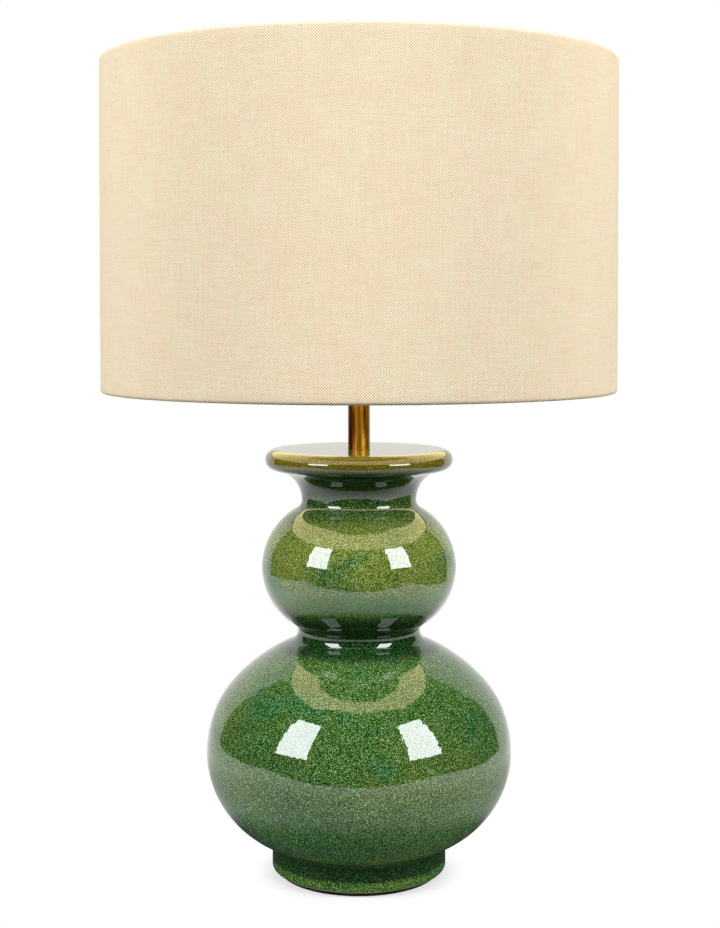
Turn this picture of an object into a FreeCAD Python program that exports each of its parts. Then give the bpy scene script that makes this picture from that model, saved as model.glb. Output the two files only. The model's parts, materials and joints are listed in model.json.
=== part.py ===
import FreeCAD, Part
import math
import os
import re
import Sketcher
from FreeCAD import Placement, Rotation, Vector

# Table lamp: a double gourd in glazed ceramic, a short brass stem and a drum shade.
#
# Frame: the origin is the centre of the pad's underside, +Z is up, -Y is the front, +X is the viewer's right.
# Millimetres and degrees. Each size that can be set by itself is written once, in the sheet "dim", and every
# sketch reads it there. FITS holds what follows from those sizes.

SIZES = {
    "ceramic body": [
        ("wall", 6.0, "thickness of the slip-cast wall"),
        ("foot_radius", 59.6, "foot, outside"),
        ("foot_edge", 3.0, "rounding of the foot's lower edge"),
        ("foot_fillet", 8.8, "hollow where the foot meets the belly"),
        ("foot_rim", 11.6, "ring that the foot stands on, width"),
        ("floor_ledge", 18.0, "floor around its opening, width"),
        ("floor_thick", 5.8, "thickness of the floor"),
        ("belly_radius", 104.7, "large gourd, widest"),
        ("belly_round", 67.6, "radius of the large gourd's side arc"),
        ("shoulder_from", 42.65, "where the shoulder's arc leaves that arc, degrees above its widest ring"),
        ("shoulder_round", 115.6, "radius of the arc up to the waist"),
        ("waist_radius", 42.2, "narrowest ring between the gourds"),
        ("waist_round", 7.0, "radius of the waist's hollow"),
        ("crown_radius", 66.5, "small gourd, widest"),
        ("crown_round", 46.0, "radius of the small gourd's side arc"),
        ("neck_radius", 39.3, "narrowest ring under the disc"),
        ("neck_round", 6.8, "radius of the hollow above the small gourd"),
        ("disc_radius", 64.3, "flat disc on top"),
        ("flare_rise", 34.52, "disc's face above the neck's narrowest ring"),
        ("disc_edge", 6.9, "half-round edge of the disc"),
        ("ceiling", 8.0, "thickness of the disc over the hollow"),
    ],
    "cable outlet": [
        ("outlet_turn", 8.0, "outlet's direction, from the right towards the back, degrees"),
        ("outlet_drop", 35.0, "outlet's place below the belly's widest ring, degrees"),
        ("outlet_bore", 3.6, "bore of the grommet, radius"),
        ("shank_wall", 1.0, "wall of the grommet's shank"),
        ("flange_width", 1.0, "flange around the shank"),
        ("flange_thick", 1.8, "how far the flange stands out"),
        ("lip_width", 0.6, "lip around the shank, inside the wall"),
        ("lip_thick", 1.4, "thickness of that lip"),
        ("outlet_gap", 0.15, "grommet to ceramic"),
    ],
    "foot stack": [
        ("pad_inset", 5.3, "black pad's edge inside the foot's"),
        ("pad_thick", 3.0, "black pad"),
        ("pad_edge", 0.8, "rounding of the pad's lower edge"),
        ("plate_inset", 6.0, "steel plate's edge inside the recess"),
        ("plate_thick", 2.0, "steel plate"),
        ("plate_hole", 5.0, "wiring holes in the plate, radius"),
        ("hole_margin", 1.0, "those holes inside the floor's opening"),
        ("washer_width", 5.4, "flat washer"),
        ("washer_thick", 1.5, "flat washer"),
        ("spring_width", 3.7, "spring washer"),
        ("spring_thick", 2.0, "spring washer"),
        ("spring_split", 1.4, "slot in the spring washer"),
        ("nut_wall", 3.4, "nut, from the rod to a flat"),
        ("nut_thick", 6.0, "nut"),
        ("rod_tail", 2.0, "rod below the nut"),
        ("stack_spare", 1.5, "rod's end above the pad"),
    ],
    "rod and stem": [
        ("rod_radius", 5.0, "hollow threaded rod"),
        ("rod_bore", 3.5, "its bore, radius"),
        ("rod_tip", 1.0, "rod above the lampholder's boss"),
        ("rod_gap", 0.1, "rod to the pieces around it"),
        ("bush_wall", 0.7, "bush in the ceramic"),
        ("bush_gap", 0.2, "bush to ceramic"),
        ("bush_collar", 5.0, "height of the bush inside the stem"),
        ("collar_wall", 1.3, "bush inside the stem"),
        ("stem_wall", 1.0, "brass stem tube"),
        ("stem_length", 31.0, "disc to lampholder"),
    ],
    "lampholder": [
        ("boss_step", 1.0, "boss beyond the stem"),
        ("boss_height", 7.0, "boss on the rod"),
        ("bell_round", 5.0, "hollow between boss and cap"),
        ("cap_wall", 1.2, "cap"),
        ("grub_radius", 1.5, "grub screw"),
        ("insert_gap", 0.3, "insulating insert to the skirt around it"),
        ("insert_wall", 1.7, "insert around the screw shell's cup"),
        ("pocket_land", 2.0, "insert's lower face around the terminal chamber"),
        ("pocket_spare", 1.0, "depth of that chamber beyond its terminals"),
        ("web_wall", 2.3, "insert between the terminals and the switch bar"),
        ("bar_cover", 0.6, "insert between the switch bar and the rivet"),
        ("cup_gap", 0.2, "screw shell to its cup"),
        ("shell_wall", 0.5, "screw shell"),
        ("shell_floor", 4.6, "width of the screw shell's floor"),
        ("thread_gap", 0.5, "screw shell to the bulb's cap"),
        ("rim_clear", 1.3, "cup's rim to the rim of the bulb's cap"),
        ("contact_radius", 4.0, "centre contact"),
        ("contact_rise", 2.0, "centre contact above the cup's floor"),
        ("rivet_radius", 2.0, "rivet under the centre contact"),
        ("rivet_length", 3.0, "rivet under the centre contact"),
        ("terminal_width", 5.0, "terminal block"),
        ("terminal_height", 4.0, "terminal block"),
        ("terminal_inset", 2.5, "terminal block to its chamber's wall"),
        ("terminal_hole", 1.0, "hole for the wire, radius"),
        ("screw_radius", 1.9, "terminal screw's head"),
        ("screw_height", 1.6, "terminal screw's head"),
        ("screw_slot", 0.6, "slot in the screw's head"),
        ("skirt_step", 1.1, "threaded skirt beyond the cap"),
        ("skirt_wall", 2.2, "threaded skirt"),
        ("skirt_rise", 7.0, "rim of the skirt above the cup's rim"),
        ("spigot_wall", 0.9, "skirt inside the cap"),
        ("shoulder_width", 4.4, "shoulder that carries the shade"),
        ("shoulder_rise", 7.0, "shoulder's face above the cap"),
        ("shoulder_thick", 2.0, "shoulder"),
        ("holder_gap", 0.1, "play between fixed pieces of the holder"),
    ],
    "switch": [
        ("bar_radius", 3.0, "push-through bar"),
        ("bar_travel", 6.0, "how far it is pushed"),
        ("bar_stub", 3.0, "what still stands out when it is pushed in"),
        ("bar_round", 1.2, "rounding of its ends"),
        ("bar_gap", 0.4, "bar to the holes around it"),
    ],
    "shade ring": [
        ("ring_wall", 4.1, "grip of the ring"),
        ("ring_lip", 2.0, "flange around the grip"),
        ("ring_flange_thick", 2.0, "flange of the ring"),
        ("ring_height", 8.0, "ring"),
        ("ring_gap", 0.3, "ring to the skirt's thread"),
        ("ring_grip", 1.1, "grip grooves, radius"),
    ],
    "bulb": [
        ("globe_radius", 30.0, "glass globe"),
        ("bulb_length", 105.0, "tip to top"),
        ("glass_wall", 0.8, "glass"),
        ("base_radius", 13.1, "screw cap"),
        ("base_wall", 0.5, "screw cap"),
        ("base_bottom", 7.0, "lower edge of the screw cap above the tip"),
        ("base_length", 18.5, "screw cap"),
        ("rim_width", 1.1, "rim under the glass, beyond the screw cap"),
        ("rim_lip", 0.2, "that rim beyond the glass"),
        ("tip_radius", 4.5, "tip contact"),
        ("tip_height", 2.0, "tip contact"),
        ("tip_gap", 0.3, "tip to the centre contact"),
        ("plug_depth", 2.0, "insulator inside the screw cap"),
        ("plug_land", 1.1, "insulator's lower face around the tip"),
    ],
    "shade": [
        ("shade_radius", 175.0, "drum, outside"),
        ("shade_height", 222.7, "drum"),
        ("fabric_thick", 0.6, "woven cover"),
        ("lining_thick", 0.4, "plastic lining"),
        ("wire_radius", 1.2, "rim wires"),
        ("hem_gap", 0.6, "cover to rim wire"),
        ("seam_width", 4.0, "overlap at the back, degrees"),
        ("hub_play", 1.4, "hole of the hub around the skirt"),
        ("hub_thick", 2.0, "hub"),
        ("hub_gap", 0.2, "hub to the shoulder and to the ring"),
        ("hub_recess", 29.4, "hub above the drum's lower edge"),
        ("arm_radius", 1.3, "arm wire"),
        ("arm_bend", 8.0, "bend of the arm"),
        ("arm_inset", 0.2, "arm's leg inside the rim wire's centre"),
        ("arm_clear", 1.6, "arm's inner end to the shoulder"),
        ("arm_weld", 4.4, "arm under the hub"),
        ("weld_gap", 0.05, "welded pieces"),
    ],
}

# Sizes that follow from others: what fits in, seats on, passes through or lines up with another piece.
FITS = {
    # levels from the pad up to the ceramic floor
    "rod_level": "pad_thick + stack_spare",
    "nut_level": "rod_level + rod_tail",
    "spring_level": "nut_level + nut_thick",
    "washer_level": "spring_level + spring_thick",
    "plate_level": "washer_level + washer_thick",
    "floor_level": "plate_level + plate_thick",
    # radii of the foot and of what lies under it
    "pad_radius": "foot_radius - pad_inset",
    "recess_radius": "foot_radius - foot_rim",
    "floor_hole": "recess_radius - floor_ledge",
    "plate_radius": "recess_radius - plate_inset",
    "plate_hole_ring": "floor_hole - plate_hole - hole_margin",
    # centres of the gourd's arcs: the hollow's lowest arc touches the floor, and each arc touches the one below
    "belly_across": "belly_radius - belly_round",
    "belly_height": "floor_level + floor_thick + belly_round - wall",
    "shoulder_across": "belly_across - (shoulder_round - belly_round) * cos(shoulder_from * 1deg)",
    "shoulder_height": "belly_height - (shoulder_round - belly_round) * sin(shoulder_from * 1deg)",
    "waist_across": "waist_radius + waist_round",
    "waist_height": "shoulder_height"
                    " + sqrt((shoulder_round + waist_round)^2 - (waist_across - shoulder_across)^2)",
    "crown_across": "crown_radius - crown_round",
    "crown_height": "waist_height"
                    " + sqrt((crown_round + waist_round)^2 - (waist_across - crown_across)^2)",
    "neck_across": "neck_radius + neck_round",
    "neck_height": "crown_height"
                   " + sqrt((crown_round + neck_round)^2 - (neck_across - crown_across)^2)",
    "disc_top": "neck_height + flare_rise",
    # grommet
    "shank_radius": "outlet_bore + shank_wall",
    "flange_radius": "shank_radius + flange_width",
    "lip_radius": "shank_radius + lip_width",
    # round the rod
    "rod_hole": "rod_radius + rod_gap",
    "washer_radius": "rod_hole + washer_width",
    "spring_radius": "rod_hole + spring_width",
    "nut_half": "rod_hole + nut_wall",
    "bush_radius": "rod_hole + bush_wall",
    "collar_radius": "rod_hole + collar_wall",
    "stem_bore": "collar_radius + rod_gap",
    "stem_radius": "stem_bore + stem_wall",
    "boss_radius": "stem_radius + boss_step",
    # the lampholder's radii, from the bulb's screw cap outwards
    "shell_radius": "base_radius + thread_gap",
    "shell_mouth": "shell_radius - shell_floor",
    "cup_radius": "shell_radius + shell_wall + cup_gap",
    "insert_radius": "cup_radius + insert_wall",
    "insert_bevel": "insert_radius - boss_radius - bell_round",
    "insert_pocket": "boss_radius + bell_round - pocket_land",
    "terminal_place": "insert_pocket - terminal_inset - terminal_width / 2",
    "spigot_bore": "insert_radius + insert_gap",
    "spigot_radius": "spigot_bore + spigot_wall",
    "cap_radius": "spigot_radius + holder_gap + cap_wall",
    "skirt_radius": "cap_radius + skirt_step",
    "shoulder_radius": "skirt_radius + shoulder_width",
    "ring_radius": "skirt_radius + ring_gap + ring_wall",
    "ring_flange": "ring_radius + ring_lip",
    "hub_bore": "skirt_radius + hub_play",
    "arm_start": "shoulder_radius + arm_clear",
    "hub_radius": "arm_start + arm_weld",
    # the lampholder's heights above the stem
    "rod_entry": "boss_height + rod_tip",
    "insert_bottom": "boss_height + bell_round + cap_wall + holder_gap",
    "insert_web": "insert_bottom + terminal_height + pocket_spare",
    "bar_height": "insert_web + web_wall + bar_gap + bar_radius",
    "spigot_bottom": "bar_height + bar_radius + bar_gap",
    "cap_height": "spigot_bottom + bar_cover + rivet_length",
    "shoulder_top": "cap_height + shoulder_rise",
    "cup_top": "cap_height + contact_rise + tip_gap + base_top - base_wall - rim_clear",
    "skirt_top": "cup_top + skirt_rise",
    # bulb
    "base_top": "base_bottom + base_length",
    "base_rim": "base_radius + rim_width",
    "throat_radius": "base_rim - rim_lip",
    "plug_top": "base_bottom + plug_depth",
    "plug_face": "tip_radius + plug_land",
    # levels of the stem's top, the bulb's tip and the drum's lower edge
    "holder_level": "disc_top + stem_length",
    "bulb_level": "holder_level + cap_height + contact_rise + tip_gap",
    "shade_level": "holder_level + shoulder_top + hub_gap - hub_recess",
}

ARM_COUNT = 3
PLATE_HOLES = 3
RING_GRIPS = 18

doc = FreeCAD.newDocument("double_gourd_lamp")


# ---------------------------------------------------------------- the sheet and the reading of sizes

def write_sheet():
    """Put every size in the sheet: a note, the number as text, and an alias."""
    sheet = doc.addObject("Spreadsheet::Sheet", "dim")
    row = 1
    for group, rows in SIZES.items():
        sheet.set(f"A{row}", group)
        row += 1
        for alias, number, note in rows:
            sheet.set(f"A{row}", note)
            sheet.set(f"B{row}", str(number))
            sheet.setAlias(f"B{row}", alias)
            row += 1
    doc.recompute()
    return sheet


dim = write_sheet()
ALIASES = {alias for rows in SIZES.values() for alias, _, _ in rows}


def spelled_out(word):
    """A size as the sheet names it, a fit as what it stands for, and any other word as it is."""
    name = word[0]
    if name in FITS:
        return f"({expression(FITS[name])})"
    return f"dim.{name}" if name in ALIASES else name


def expression(text):
    """Write the names in a sum as references to the sheet."""
    return re.sub(r"[a-z_]+", spelled_out, text)


def size(text):
    """The present value of a size or of a sum of sizes."""
    return float(dim.evalExpression(expression(text)))


# ---------------------------------------------------------------- bodies, sketches and constraints

def new_body(label, lift=None, turn=None):
    """A body named after its piece. lift raises it along Z, turn swings it about Z."""
    body = doc.addObject("PartDesign::Body", label)
    body.Label = label
    body.Placement = Placement(Vector(0, 0, 0), Rotation(Vector(0, 0, 1), 0))
    if lift:
        body.setExpression(".Placement.Base.z", expression(lift))
    if turn:
        body.setExpression(".Placement.Rotation.Angle", expression(turn))
    return body


def new_sketch(body, name, role="XZ_Plane"):
    """A sketch on one of the body's own origin planes."""
    sketch = body.newObject("Sketcher::SketchObject", name)
    plane = [feature for feature in body.Origin.OriginFeatures if feature.Role == role][0]
    sketch.AttachmentSupport = [(plane, "")]
    sketch.MapMode = "FlatFace"
    return sketch


def bind(sketch, text, kind, *where):
    """Add a dimension and tie it to the sheet."""
    index = sketch.addConstraint(Sketcher.Constraint(kind, *where, size(text)))
    sketch.setExpression(f"Constraints[{index}]", expression(text))


def bind_point(sketch, geometry, corner, across, along):
    """Fix a point at a distance across and along the sketch's axes."""
    for text, kind, axis in ((across, "DistanceX", -2), (along, "DistanceY", -1)):
        if text is None:
            continue
        if text == "0":
            sketch.addConstraint(Sketcher.Constraint("PointOnObject", geometry, corner, axis))
        else:
            bind(sketch, text, kind, -1, 1, geometry, corner)


START, END, CENTRE = 1, 2, 3


def add_line(sketch, first, last):
    return sketch.addGeometry(Part.LineSegment(Vector(*first, 0), Vector(*last, 0)))


def add_arc(sketch, centre, radius, from_angle, to_angle):
    circle = Part.Circle(Vector(*centre, 0), Vector(0, 0, 1), radius)
    return sketch.addGeometry(Part.ArcOfCircle(circle, from_angle, to_angle))


def draw_outline(sketch, corners):
    """Draw a closed outline through its corners.

    A corner is (across, along), or (across, along, (centre across, centre along), "left" or "right")
    when an arc that turns left or right about that centre leads to it.
    """
    points = [(size(corner[0]), size(corner[1])) for corner in corners]
    ends = []
    for index, corner in enumerate(corners):
        before = points[index - 1]
        here = points[index]
        if len(corner) == 2:
            geometry = add_line(sketch, before, here)
            ends.append((geometry, START, END))
            continue
        centre = (size(corner[2][0]), size(corner[2][1]))
        first = math.atan2(before[1] - centre[1], before[0] - centre[0])
        last = math.atan2(here[1] - centre[1], here[0] - centre[0])
        left = corner[3] == "left"
        if not left:
            first, last = last, first
        while last <= first + 1e-6:
            last += 2 * math.pi
        geometry = add_arc(sketch, centre, math.dist(centre, here), first, last)
        ends.append((geometry, START, END) if left else (geometry, END, START))
    for index, corner in enumerate(corners):
        geometry, _, finish = ends[index]
        follower, start, _ = ends[(index + 1) % len(ends)]
        sketch.addConstraint(Sketcher.Constraint("Coincident", geometry, finish, follower, start))
        if len(corner) == 2:
            bind_point(sketch, geometry, finish, corner[0], corner[1])
            continue
        bind_point(sketch, geometry, CENTRE, *corner[2])
        centre = (size(corner[2][0]), size(corner[2][1]))
        sideways = abs(points[index][0] - centre[0]) > abs(points[index][1] - centre[1])
        if sideways:
            bind_point(sketch, geometry, finish, None, corner[1])
        else:
            bind_point(sketch, geometry, finish, corner[0], None)


def draw_circle(sketch, across, along, radius):
    centre = Vector(size(across), size(along), 0)
    geometry = sketch.addGeometry(Part.Circle(centre, Vector(0, 0, 1), size(radius)))
    bind(sketch, radius, "Radius", geometry)
    bind_point(sketch, geometry, CENTRE, across, along)


def feature(body, kind, name, sketch, **settings):
    """Make a PartDesign feature from a sketch and leave it as the body's tip."""
    made = body.newObject(f"PartDesign::{kind}", name)
    made.Profile = sketch
    for key, setting in settings.items():
        setattr(made, key, setting)
    body.Tip = made
    sketch.Visibility = False
    return made


def turned(body, name, corners):
    """Turn an outline about the body's axis, as on a lathe."""
    sketch = new_sketch(body, name + "_outline")
    draw_outline(sketch, corners)
    made = feature(body, "Revolution", name, sketch, ReferenceAxis=(sketch, ["V_Axis"]))
    made.Angle = 360
    return made


def bored(body, name, corners):
    """Turn away what lies inside an outline."""
    sketch = new_sketch(body, name + "_outline")
    draw_outline(sketch, corners)
    made = feature(body, "Groove", name, sketch, ReferenceAxis=(sketch, ["V_Axis"]))
    made.Angle = 360
    return made


def through_hole(body, name, role, across, along, radius):
    """Drill right through the piece, both ways from an origin plane."""
    sketch = new_sketch(body, name + "_circle", role)
    draw_circle(sketch, across, along, radius)
    made = feature(body, "Pocket", name, sketch, Type="ThroughAll")
    made.Midplane = True
    return made


def pad_circle(body, name, role, across, along, radius, length, offset):
    """A round bar standing on a plane that is offset from an origin plane."""
    sketch = new_sketch(body, name + "_circle", role)
    sketch.setExpression(".AttachmentOffset.Base.z", expression(offset))
    draw_circle(sketch, across, along, radius)
    made = feature(body, "Pad", name, sketch)
    made.setExpression("Length", expression(length))
    return made


def ring_edges(made, radius, height):
    """Names of the circular edges of a given radius at a given height."""
    names = []
    for number, edge in enumerate(made.Shape.Edges, 1):
        curve = edge.Curve
        if not isinstance(curve, Part.Circle):
            continue
        if abs(curve.Radius - size(radius)) < 0.01 and abs(edge.CenterOfMass.z - size(height)) < 0.01:
            names.append(f"Edge{number}")
    return names


# ---------------------------------------------------------------- the ceramic body

def bearing(centre, point):
    """Direction from an arc's centre to a point, in radians from 0 to a full turn."""
    return math.atan2(point[1] - centre[1], point[0] - centre[0]) % (2 * math.pi)


def gourd_centres():
    """Centres of the gourd's side arcs, from the lowest to the highest."""
    return [(size(f"{arc}_across"), size(f"{arc}_height"))
            for arc in ("belly", "shoulder", "waist", "crown", "neck")]


def draw_gourd_side(sketch, inset, belly_from):
    """Five tangent arcs from belly to neck, moved inwards by inset; returns the first and the last."""
    belly, shoulder, waist, crown, neck = gourd_centres()
    depth = size(inset)
    arcs = [
        (belly, size("belly_round") - depth, belly_from, bearing(shoulder, belly)),
        (shoulder, size("shoulder_round") - depth, bearing(shoulder, belly), bearing(shoulder, waist)),
        (waist, size("waist_round") + depth, bearing(waist, crown), bearing(waist, shoulder)),
        (crown, size("crown_round") - depth, bearing(crown, waist) - 2 * math.pi, bearing(crown, neck)),
        (neck, size("neck_round") + depth, math.pi, bearing(neck, crown)),
    ]
    names = [add_arc(sketch, *arc) for arc in arcs]
    low, rise, hollow, high, top = names
    sketch.addConstraint(Sketcher.Constraint("Tangent", low, END, rise, START))
    sketch.addConstraint(Sketcher.Constraint("Tangent", rise, END, hollow, END))
    sketch.addConstraint(Sketcher.Constraint("Tangent", hollow, START, high, START))
    sketch.addConstraint(Sketcher.Constraint("Tangent", high, END, top, END))
    bind(sketch, f"belly_round - {inset}", "Radius", low)
    bind_point(sketch, low, CENTRE, "belly_across", "belly_height")
    bind_point(sketch, low, END, None, f"belly_height + (belly_round - {inset}) * sin(shoulder_from * 1deg)")
    bind(sketch, f"shoulder_round - {inset}", "Radius", rise)
    bind(sketch, f"waist_round + {inset}", "Radius", hollow)
    bind_point(sketch, hollow, CENTRE, "waist_across", None)
    bind(sketch, f"crown_round - {inset}", "Radius", high)
    bind_point(sketch, high, CENTRE, "crown_across", None)
    bind(sketch, f"neck_round + {inset}", "Radius", top)
    bind_point(sketch, top, CENTRE, "neck_across", None)
    return low, top


def draw_gourd_outside(sketch):
    """The whole outer outline: gourd, flare, disc, foot."""
    belly, _, _, _, neck = gourd_centres()
    fillet = size("foot_fillet")
    fillet_across = size("foot_radius") + fillet
    reach = size("belly_round") + fillet
    foot = (fillet_across, belly[1] - math.sqrt(reach ** 2 - (fillet_across - belly[0]) ** 2))
    low, top = draw_gourd_side(sketch, "0", bearing(belly, foot) - 2 * math.pi)

    edge = size("disc_edge")
    lip = (size("disc_radius") - edge, size("disc_top") - edge)
    inward = size("neck_radius") - lip[0]
    rise = lip[1] - neck[1]
    flare_round = (rise ** 2 + inward ** 2 - edge ** 2) / (2 * (edge - inward))
    flare_centre = (size("neck_radius") + flare_round, neck[1])
    flare = add_arc(sketch, flare_centre, flare_round, bearing(flare_centre, lip), math.pi)
    rim = add_arc(sketch, lip, edge, bearing(lip, flare_centre) - 2 * math.pi, math.pi / 2)
    face = add_line(sketch, (lip[0], size("disc_top")), (0, size("disc_top")))
    axis = add_line(sketch, (0, size("disc_top")), (0, size("pad_thick")))
    toe = (size("foot_radius - foot_edge"), size("pad_thick"))
    sole = add_line(sketch, (0, toe[1]), toe)
    toe_centre = (toe[0], toe[1] + size("foot_edge"))
    heel = add_arc(sketch, toe_centre, size("foot_edge"), -math.pi / 2, 0)
    side = add_line(sketch, (size("foot_radius"), toe_centre[1]), (size("foot_radius"), foot[1]))
    hollow = add_arc(sketch, foot, fillet, bearing(foot, belly), math.pi)

    constrain = sketch.addConstraint
    constrain(Sketcher.Constraint("Horizontal", top, START, top, CENTRE))
    constrain(Sketcher.Constraint("Tangent", top, START, flare, END))
    constrain(Sketcher.Constraint("Tangent", flare, START, rim, START))
    constrain(Sketcher.Constraint("Tangent", hollow, START, low, START))
    constrain(Sketcher.Constraint("Tangent", side, END, hollow, END))
    constrain(Sketcher.Constraint("Tangent", heel, END, side, START))
    constrain(Sketcher.Constraint("Tangent", sole, END, heel, START))
    constrain(Sketcher.Constraint("Tangent", rim, END, face, START))
    constrain(Sketcher.Constraint("Coincident", face, END, axis, START))
    constrain(Sketcher.Constraint("Coincident", axis, END, sole, START))
    constrain(Sketcher.Constraint("Horizontal", sole))
    constrain(Sketcher.Constraint("Horizontal", face))
    bind(sketch, "disc_edge", "Radius", rim)
    bind_point(sketch, rim, CENTRE, "disc_radius - disc_edge", "disc_top - disc_edge")
    bind_point(sketch, face, END, "0", None)
    bind_point(sketch, axis, END, "0", "pad_thick")
    bind(sketch, "foot_edge", "Radius", heel)
    bind(sketch, "foot_fillet", "Radius", hollow)
    bind_point(sketch, side, START, "foot_radius", None)


def draw_gourd_inside(sketch):
    """The hollow: the same arcs moved in by the wall, closed by the floor and the ceiling."""
    belly, _, _, _, neck = gourd_centres()
    low, top = draw_gourd_side(sketch, "wall", -math.pi / 2)
    throat = size("neck_radius - wall")
    ceiling = size("disc_top - ceiling")
    floor = belly[1] - size("belly_round - wall")
    riser = add_line(sketch, (throat, neck[1]), (throat, ceiling))
    roof = add_line(sketch, (throat, ceiling), (0, ceiling))
    axis = add_line(sketch, (0, ceiling), (0, floor))
    ground = add_line(sketch, (0, floor), (belly[0], floor))
    constrain = sketch.addConstraint
    constrain(Sketcher.Constraint("Vertical", riser))
    constrain(Sketcher.Constraint("Tangent", top, START, riser, START))
    constrain(Sketcher.Constraint("Coincident", riser, END, roof, START))
    constrain(Sketcher.Constraint("Coincident", roof, END, axis, START))
    constrain(Sketcher.Constraint("Coincident", axis, END, ground, START))
    constrain(Sketcher.Constraint("Tangent", ground, END, low, START))
    constrain(Sketcher.Constraint("Horizontal", ground))
    bind_point(sketch, riser, END, None, "disc_top - ceiling")
    bind_point(sketch, roof, END, "0", "disc_top - ceiling")
    bind_point(sketch, axis, END, "0", None)


def outlet_sketch(body, name):
    """A sketch square to the outlet's axis, with its origin at the centre of the belly's arc."""
    sketch = new_sketch(body, name, "YZ_Plane")
    sketch.AttachmentOffset = Placement(Vector(0, 0, 0), Rotation(Vector(1, 0, 0), 1))
    sketch.setExpression(".AttachmentOffset.Base.y", expression("belly_height"))
    sketch.setExpression(".AttachmentOffset.Base.z", expression("belly_across"))
    sketch.setExpression(".AttachmentOffset.Rotation.Angle", expression("outlet_drop"))
    return sketch


def make_ceramic_body():
    body = new_body("ceramic_body", turn="outlet_turn")
    outside = new_sketch(body, "gourd_outside")
    draw_gourd_outside(outside)
    feature(body, "Revolution", "gourd", outside, ReferenceAxis=(outside, ["V_Axis"])).Angle = 360
    inside = new_sketch(body, "gourd_inside")
    draw_gourd_inside(inside)
    feature(body, "Groove", "hollow", inside, ReferenceAxis=(inside, ["V_Axis"])).Angle = 360
    bored(body, "foot_recess", [
        ("0", "pad_thick"),
        ("recess_radius", "pad_thick"),
        ("recess_radius", "floor_level"),
        ("0", "floor_level"),
    ])
    bored(body, "floor_opening", [
        ("0", "floor_level"),
        ("floor_hole", "floor_level"),
        ("floor_hole", "belly_height"),
        ("0", "belly_height"),
    ])
    bored(body, "rod_hole", [
        ("0", "disc_top - 2 * ceiling"),
        ("bush_radius + bush_gap", "disc_top - 2 * ceiling"),
        ("bush_radius + bush_gap", "disc_top"),
        ("0", "disc_top"),
    ])
    drill = outlet_sketch(body, "outlet_circle")
    draw_circle(drill, "0", "0", "shank_radius + outlet_gap")
    made = feature(body, "Pocket", "outlet", drill, Type="Length")
    made.setExpression("Length", expression("belly_round + wall"))
    made.Reversed = True
    return body


def make_cable_grommet():
    """A rubber bush in the outlet: flange outside, shank through the wall, lip inside."""
    body = new_body("cable_grommet", turn="outlet_turn")
    rings = [
        ("flange", "flange_radius", "belly_round", "flange_thick"),
        ("shank", "shank_radius", "belly_round - wall - 2 * outlet_gap", "wall + 2 * outlet_gap"),
        ("lip", "lip_radius", "belly_round - wall - 2 * outlet_gap - lip_thick", "lip_thick"),
    ]
    for name, radius, start, length in rings:
        sketch = outlet_sketch(body, name + "_circle")
        draw_circle(sketch, "0", "0", radius)
        # the ring's start is measured along the outlet's axis, from the centre of the belly's arc
        sketch.setExpression(".AttachmentOffset.Base.y",
                             expression(f"belly_height - ({start}) * sin(outlet_drop * 1deg)"))
        sketch.setExpression(".AttachmentOffset.Base.z",
                             expression(f"belly_across + ({start}) * cos(outlet_drop * 1deg)"))
        feature(body, "Pad", name, sketch).setExpression("Length", expression(length))
    bore = outlet_sketch(body, "bore_circle")
    draw_circle(bore, "0", "0", "outlet_bore")
    made = feature(body, "Pocket", "bore", bore, Type="Length")
    made.setExpression("Length", expression("belly_round + 2 * flange_thick"))
    made.Reversed = True
    return body


# ---------------------------------------------------------------- under the foot

def make_base_pad():
    body = new_body("base_pad")
    turned(body, "disc", [
        ("0", "0"),
        ("pad_radius - pad_edge", "0"),
        ("pad_radius", "pad_edge", ("pad_radius - pad_edge", "pad_edge"), "left"),
        ("pad_radius", "pad_thick"),
        ("0", "pad_thick"),
    ])
    return body


def washer_outline(radius, bottom, top):
    return [
        ("rod_hole", bottom),
        (radius, bottom),
        (radius, top),
        ("rod_hole", top),
    ]


def make_base_plate():
    body = new_body("base_plate")
    turned(body, "plate", washer_outline("plate_radius", "plate_level", "floor_level"))
    doc.recompute()
    hole = through_hole(body, "wiring_hole", "XY_Plane", "plate_hole_ring", "0", "plate_hole")
    pattern = body.newObject("PartDesign::PolarPattern", "wiring_holes")
    pattern.Originals = [hole]
    pattern.Angle = 360
    pattern.Occurrences = PLATE_HOLES
    spin_pattern_about_z(body, pattern)
    return body


def spin_pattern_about_z(body, pattern):
    """Turn a pattern about the body's own Z axis and make it the tip."""
    axis = [item for item in body.Origin.OriginFeatures if item.Role == "Z_Axis"][0]
    pattern.Axis = (axis, [""])
    body.Tip = pattern


def make_flat_washer():
    body = new_body("flat_washer")
    turned(body, "washer", washer_outline("washer_radius", "washer_level", "plate_level"))
    return body


def make_spring_washer():
    body = new_body("spring_washer")
    turned(body, "washer", washer_outline("spring_radius", "spring_level", "washer_level"))
    slot = new_sketch(body, "slot_outline", "XY_Plane")
    draw_outline(slot, [
        ("0", "0 - spring_split / 2"),
        ("2 * spring_radius", "0 - spring_split / 2"),
        ("2 * spring_radius", "spring_split / 2"),
        ("0", "spring_split / 2"),
    ])
    feature(body, "Pocket", "slot", slot, Type="ThroughAll").Midplane = True
    return body


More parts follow.
